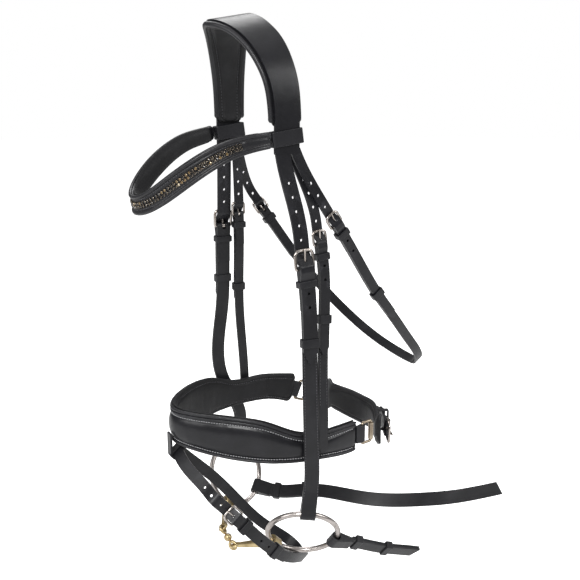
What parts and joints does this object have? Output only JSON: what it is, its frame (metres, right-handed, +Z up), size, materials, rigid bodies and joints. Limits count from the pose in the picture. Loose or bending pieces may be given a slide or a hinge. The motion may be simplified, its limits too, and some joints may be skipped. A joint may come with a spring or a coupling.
{
  "type": "snaffle bridle",
  "caption": "Black leather snaffle bridle with padded headpiece, stone-set browband, padded crank noseband, flash strap and double-jointed loose ring bit.",
  "frame": {"origin": "middle of the flat seat under the poll pad, where the bridle rests behind the horse's ears", "axes": "+Z up, -Y the way the horse faces, +X the horse's left (near) side"},
  "size_m": [0.2215, 0.4419, 0.6481],
  "materials": {
    "leather": "smooth black bridle leather with a soft sheen",
    "pad_leather": "soft matt black padding leather",
    "buckle_steel": "polished",
    "ring_steel": "satin",
    "bit_metal": "satin copper alloy",
    "dee_metal": "polished",
    "stones": "small faceted stones"
  },
  "bodies": {
    "bridle": {"cheek_far_buckle": "buckle_steel", "cheek_keepers": "leather", "cheek_near_buckle": "buckle_steel", "cheekpiece_far": "leather", "cheekpiece_near": "leather", "flash_tab": "leather", "headpiece_crown": "leather", "headpiece_pad": "pad_leather", "jaw_buckle": "buckle_steel", "jaw_chape": "leather", "jaw_keeper": "leather", "jaw_pad": "pad_leather", "jaw_strap": "leather", "nose_far_buckle": "buckle_steel", "nose_keepers": "leather", "nose_near_buckle": "buckle_steel", "noseband_billet_far": "leather", "noseband_billet_near": "leather", "noseband_chapes": "leather", "noseband_dees": "dee_metal", "noseband_hanger_far": "leather", "noseband_hanger_near": "leather", "noseband_leather": "leather", "noseband_pad": "pad_leather", "throat_far_buckle": "buckle_steel", "throat_keepers": "leather", "throat_near_buckle": "buckle_steel", "throatlatch": "leather"},
    "browband": {"browband_leather": "leather", "browband_pad": "pad_leather", "browband_crystals": "stones", "browband_loops": "leather"},
    "flash": {"flash_strap": "leather", "flash_buckle": "buckle_steel", "flash_keeper": "leather"},
    "cheek_near_tongue": {"cheek_near_tongue": "buckle_steel"},
    "cheek_far_tongue": {"cheek_far_tongue": "buckle_steel"},
    "nose_near_tongue": {"nose_near_tongue": "buckle_steel"},
    "nose_far_tongue": {"nose_far_tongue": "buckle_steel"},
    "throat_near_tongue": {"throat_near_tongue": "buckle_steel"},
    "throat_far_tongue": {"throat_far_tongue": "buckle_steel"},
    "jaw_tongue": {"jaw_tongue": "buckle_steel"},
    "flash_tongue": {"flash_tongue": "buckle_steel"},
    "cheek_near_slider": {"cheek_near_slider": "leather"},
    "cheek_far_slider": {"cheek_far_slider": "leather"},
    "nose_near_slider": {"nose_near_slider": "leather"},
    "nose_far_slider": {"nose_far_slider": "leather"},
    "throat_near_slider": {"throat_near_slider": "leather"},
    "flash_slider": {"flash_slider": "leather"},
    "bit_ring_near": {"bit_ring_near": "ring_steel"},
    "bit_ring_far": {"bit_ring_far": "ring_steel"},
    "bit_arm_near": {"bit_arm_near": "bit_metal"},
    "bit_arm_far": {"bit_arm_far": "bit_metal"},
    "bit_lozenge": {"bit_lozenge": "bit_metal"},
    "rein_near": {"rein_near": "leather", "rein_keepers_near": "leather"},
    "rein_far": {"rein_far": "leather", "rein_keepers_far": "leather"},
    "jaw_roller": {"jaw_roller": "dee_metal"}
  },
  "joints": [
    {"name": "browband_slide", "type": "slide", "parent": "bridle", "child": "browband", "axis": [0, 0, 1], "range_m": [-0.003, 0.002], "stiffness_N_per_m": 1500},
    {"name": "flash_swing", "type": "hinge", "parent": "bridle", "child": "flash", "pos_m": [0, -0.072, -0.446], "axis": [0.9928, -0.0821, 0.0873], "range_deg": [-2, 0], "stiffness_Nm_per_rad": 4},
    {"name": "cheek_near_tongue_lift", "type": "hinge", "parent": "bridle", "child": "cheek_near_tongue", "pos_m": [0.0885, 0.0395, -0.2355], "axis": [-0.0048, 0.9982, 0.0595], "range_deg": [0, 8], "stiffness_Nm_per_rad": 0.02},
    {"name": "cheek_far_tongue_lift", "type": "hinge", "parent": "bridle", "child": "cheek_far_tongue", "pos_m": [-0.0835, 0.0245, -0.216], "axis": [0, -1, 0], "range_deg": [0, 8], "stiffness_Nm_per_rad": 0.02},
    {"name": "nose_near_tongue_lift", "type": "hinge", "parent": "bridle", "child": "nose_near_tongue", "pos_m": [0.084, 0.0595, -0.213], "axis": [-0.0071, 0.9929, 0.1187], "range_deg": [0, 8], "stiffness_Nm_per_rad": 0.02},
    {"name": "nose_far_tongue_lift", "type": "hinge", "parent": "bridle", "child": "nose_far_tongue", "pos_m": [-0.0742, 0.0405, -0.202], "axis": [-0.0016, -0.9992, -0.0399], "range_deg": [0, 8], "stiffness_Nm_per_rad": 0.02},
    {"name": "throat_near_tongue_lift", "type": "hinge", "parent": "bridle", "child": "throat_near_tongue", "pos_m": [0.08, 0.081, -0.195], "axis": [-0.0112, 0.8003, 0.5995], "range_deg": [0, 8], "stiffness_Nm_per_rad": 0.02},
    {"name": "throat_far_tongue_lift", "type": "hinge", "parent": "bridle", "child": "throat_far_tongue", "pos_m": [-0.08, 0.076, -0.2], "axis": [-0.0204, -0.8286, -0.5595], "range_deg": [0, 8], "stiffness_Nm_per_rad": 0.02},
    {"name": "jaw_tongue_lift", "type": "hinge", "parent": "bridle", "child": "jaw_tongue", "pos_m": [0.05185, 0.17235, -0.44928], "axis": [0.0051, -0.0011, 1], "range_deg": [0, 8], "stiffness_Nm_per_rad": 0.02},
    {"name": "flash_tongue_lift", "type": "hinge", "parent": "flash", "child": "flash_tongue", "pos_m": [0.0775, -0.035, -0.501], "axis": [0.0068, 0.7554, 0.6552], "range_deg": [0, 8], "stiffness_Nm_per_rad": 0.02},
    {"name": "cheek_near_slider_slide", "type": "slide", "parent": "bridle", "child": "cheek_near_slider", "axis": [-0.0733, 0.0081, 0.9973], "range_m": [-0.004, 0.004], "stiffness_N_per_m": 60},
    {"name": "cheek_far_slider_slide", "type": "slide", "parent": "bridle", "child": "cheek_far_slider", "axis": [0.083, -0.0132, 0.9965], "range_m": [-0.004, 0.004], "stiffness_N_per_m": 60},
    {"name": "nose_near_slider_slide", "type": "slide", "parent": "bridle", "child": "nose_near_slider", "axis": [-0.072, 0.0596, 0.9956], "range_m": [-0.004, 0.004], "stiffness_N_per_m": 60},
    {"name": "nose_far_slider_slide", "type": "slide", "parent": "bridle", "child": "nose_far_slider", "axis": [0.1539, -0.055, 0.9866], "range_m": [-0.004, 0.004], "stiffness_N_per_m": 60},
    {"name": "throat_near_slider_slide", "type": "slide", "parent": "bridle", "child": "throat_near_slider", "axis": [0.1611, -0.6293, 0.7603], "range_m": [-0.004, 0.004], "stiffness_N_per_m": 60},
    {"name": "flash_slider_slide", "type": "slide", "parent": "flash", "child": "flash_slider", "axis": [0.2095, -0.694, 0.6889], "range_m": [-0.004, 0.004], "stiffness_N_per_m": 60},
    {"name": "bit_ring_near_spin", "type": "hinge", "parent": "bridle", "child": "bit_ring_near", "pos_m": [0.07854, 0.04367, -0.53797], "axis": [0.761, -0.4133, -0.5001], "continuous": true},
    {"name": "bit_ring_far_spin", "type": "hinge", "parent": "bridle", "child": "bit_ring_far", "pos_m": [-0.07984, 0.03398, -0.53381], "axis": [0.8759, 0.3024, 0.3761], "continuous": true},
    {"name": "bit_swing_near", "type": "hinge", "parent": "bridle", "child": "bit_arm_near", "pos_m": [0.0535, 0.02063, -0.55703], "axis": [-0.9975, -0.0595, -0.0379], "range_deg": [-6, 6], "stiffness_Nm_per_rad": 1},
    {"name": "bit_swing_far", "type": "hinge", "parent": "bridle", "child": "bit_arm_far", "pos_m": [-0.06104, 0.0138, -0.56138], "axis": [-0.9975, -0.0595, -0.0379], "range_deg": [-6, 6]},
    {"name": "bit_lozenge_turn", "type": "hinge", "parent": "bit_arm_near", "child": "bit_lozenge", "pos_m": [-0.00095, -0.0126, -0.57055], "axis": [-0.6155, -0.3054, 0.7266], "range_deg": [-4, 4], "stiffness_Nm_per_rad": 0.05},
    {"name": "rein_near_swing", "type": "hinge", "parent": "bridle", "child": "rein_near", "pos_m": [0.08872, 0.0788, -0.55151], "axis": [0.594, 0.1337, 0.7933], "range_deg": [-10, 10], "stiffness_Nm_per_rad": 3},
    {"name": "rein_far_swing", "type": "hinge", "parent": "bridle", "child": "rein_far", "pos_m": [-0.07862, 0.06292, -0.55993], "axis": [0.4815, -0.5983, -0.6404], "range_deg": [-10, 10], "stiffness_Nm_per_rad": 3},
    {"name": "jaw_roller_spin", "type": "hinge", "parent": "bridle", "child": "jaw_roller", "pos_m": [0.08552, 0.12602, -0.43], "axis": [0, 0, 1], "continuous": true}
  ],
  "couplings": [
    {"joint": "bit_swing_far", "follows": "bit_swing_near", "ratio": 1}
  ]
}
